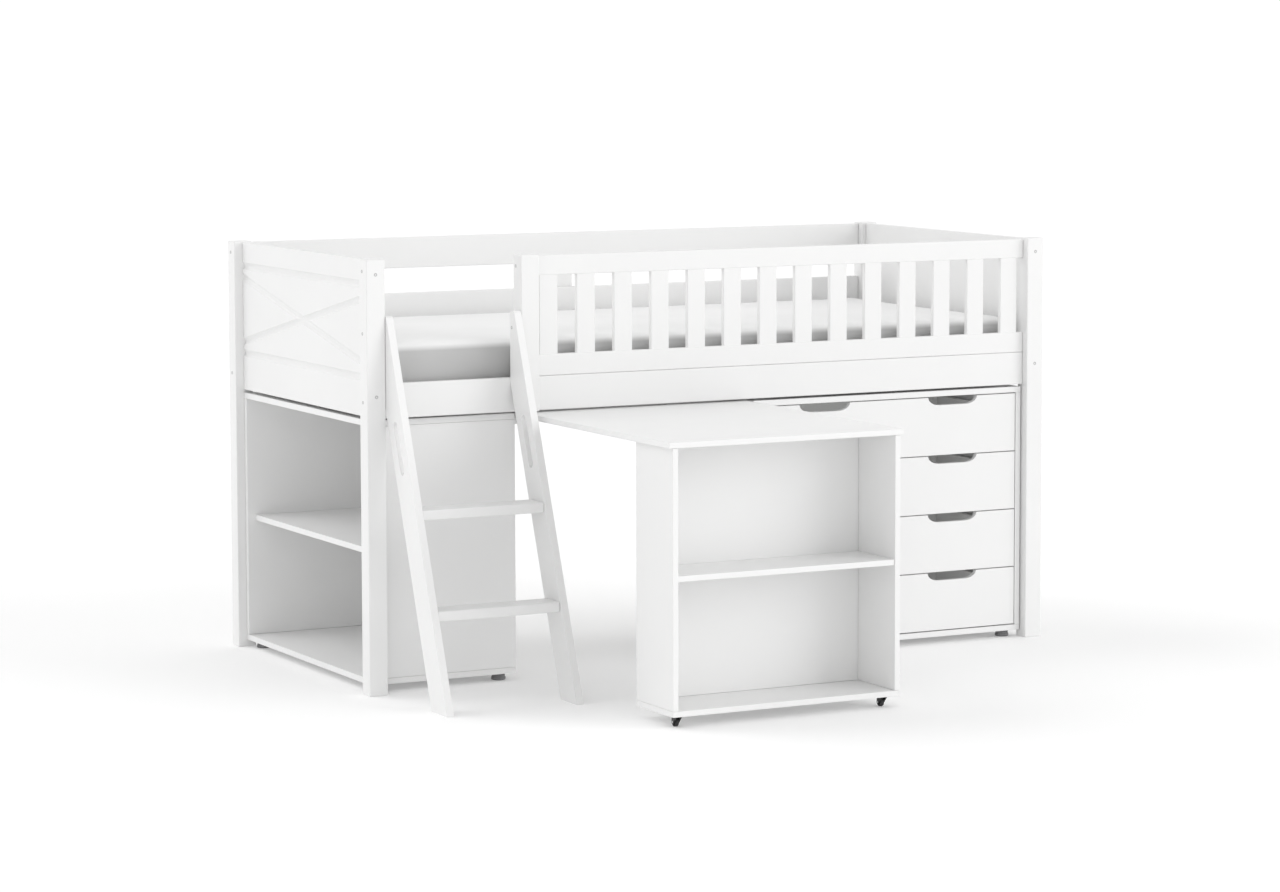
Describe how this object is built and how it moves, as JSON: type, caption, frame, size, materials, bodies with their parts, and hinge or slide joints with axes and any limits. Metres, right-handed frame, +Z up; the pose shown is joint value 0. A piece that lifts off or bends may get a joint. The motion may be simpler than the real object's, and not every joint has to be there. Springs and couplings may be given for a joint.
{
  "type": "loft bed with desk",
  "caption": "Mid-height white loft bed with a sloping ladder, slatted guard rail, pull-out desk on casters, open bookcase and a chest of drawers underneath.",
  "frame": {"origin": "on the floor, under the middle of the whole object with its desk pulled out", "axes": "+X along the bed away from the bookcase, +Y towards the wall, +Z up"},
  "size_m": [2.081, 1.77, 1.141],
  "materials": {
    "white_lacquer": "satin white lacquer",
    "carcass_inside": "white foil on hardboard",
    "mattress_fabric": "white woven ticking",
    "slat_wood": "whitewashed pine",
    "drawer_wood": "white foil",
    "foot_plastic": "moulded grey",
    "caster_black": "moulded black",
    "caster_fork": "moulded black"
  },
  "bodies": {
    "bed": {"post_front_left": "white_lacquer", "post_front_right": "white_lacquer", "post_back_left": "white_lacquer", "post_back_right": "white_lacquer", "post_front_middle": "white_lacquer", "end_panel_left": "white_lacquer", "end_panel_right": "white_lacquer", "side_rail_front": "white_lacquer", "side_rail_back": "white_lacquer", "back_rail_lower": "white_lacquer", "back_rail_upper": "white_lacquer", "back_centre_batten": "white_lacquer", "guard_rail": "white_lacquer", "slatted_base": "slat_wood", "mattress": "mattress_fabric", "ladder_stringer_left": "white_lacquer", "ladder_stringer_right": "white_lacquer", "ladder_tread_lower": "white_lacquer", "ladder_tread_upper": "white_lacquer", "bookcase_top": "white_lacquer", "bookcase_bottom": "white_lacquer", "bookcase_side_front": "white_lacquer", "bookcase_side_back": "white_lacquer", "bookcase_back": "white_lacquer", "bookcase_shelf": "white_lacquer", "bookcase_foot_front_left": "foot_plastic", "bookcase_foot_front_right": "foot_plastic", "bookcase_foot_back_left": "foot_plastic", "bookcase_foot_back_right": "foot_plastic", "chest_top": "white_lacquer", "chest_bottom": "white_lacquer", "chest_side_left": "white_lacquer", "chest_side_right": "white_lacquer", "chest_back": "carcass_inside", "chest_foot_front_left": "foot_plastic", "chest_foot_front_right": "foot_plastic", "chest_foot_back_left": "foot_plastic", "chest_foot_back_right": "foot_plastic"},
    "desk": {"desk_top": "white_lacquer", "desk_bottom": "white_lacquer", "desk_side_left": "white_lacquer", "desk_side_right": "white_lacquer", "desk_back": "white_lacquer", "desk_shelf": "white_lacquer"},
    "drawer_1": {"drawer_front_1": "white_lacquer", "drawer_box_1": "drawer_wood"},
    "drawer_2": {"drawer_front_2": "white_lacquer", "drawer_box_2": "drawer_wood"},
    "drawer_3": {"drawer_front_3": "white_lacquer", "drawer_box_3": "drawer_wood"},
    "drawer_4": {"drawer_front_4": "white_lacquer", "drawer_box_4": "drawer_wood"},
    "caster_fork_left": {"caster_fork_left": "caster_fork"},
    "caster_wheel_left": {"caster_wheel_left": "caster_black"},
    "caster_fork_right": {"caster_fork_right": "caster_fork"},
    "caster_wheel_right": {"caster_wheel_right": "caster_black"}
  },
  "joints": [
    {"name": "desk_slide", "type": "slide", "parent": "bed", "child": "desk", "axis": [0, 1, 0], "range_m": [0, 0.8]},
    {"name": "drawer_1_slide", "type": "slide", "parent": "bed", "child": "drawer_1", "axis": [0, -1, 0], "range_m": [0, 0.35]},
    {"name": "drawer_2_slide", "type": "slide", "parent": "bed", "child": "drawer_2", "axis": [0, -1, 0], "range_m": [0, 0.35]},
    {"name": "drawer_3_slide", "type": "slide", "parent": "bed", "child": "drawer_3", "axis": [0, -1, 0], "range_m": [0, 0.35]},
    {"name": "drawer_4_slide", "type": "slide", "parent": "bed", "child": "drawer_4", "axis": [0, -1, 0], "range_m": [0, 0.35]},
    {"name": "caster_swivel_left", "type": "hinge", "parent": "desk", "child": "caster_fork_left", "pos_m": [-0.5385, -0.848, 0.0305], "axis": [0, 0, 1], "continuous": true},
    {"name": "caster_spin_left", "type": "hinge", "parent": "caster_fork_left", "child": "caster_wheel_left", "pos_m": [-0.5385, -0.839, 0.0115], "axis": [1, 0, 0], "continuous": true},
    {"name": "caster_swivel_right", "type": "hinge", "parent": "desk", "child": "caster_fork_right", "pos_m": [0.058, -0.848, 0.0305], "axis": [0, 0, 1], "continuous": true},
    {"name": "caster_spin_right", "type": "hinge", "parent": "caster_fork_right", "child": "caster_wheel_right", "pos_m": [0.058, -0.839, 0.0115], "axis": [1, 0, 0], "continuous": true}
  ]
}
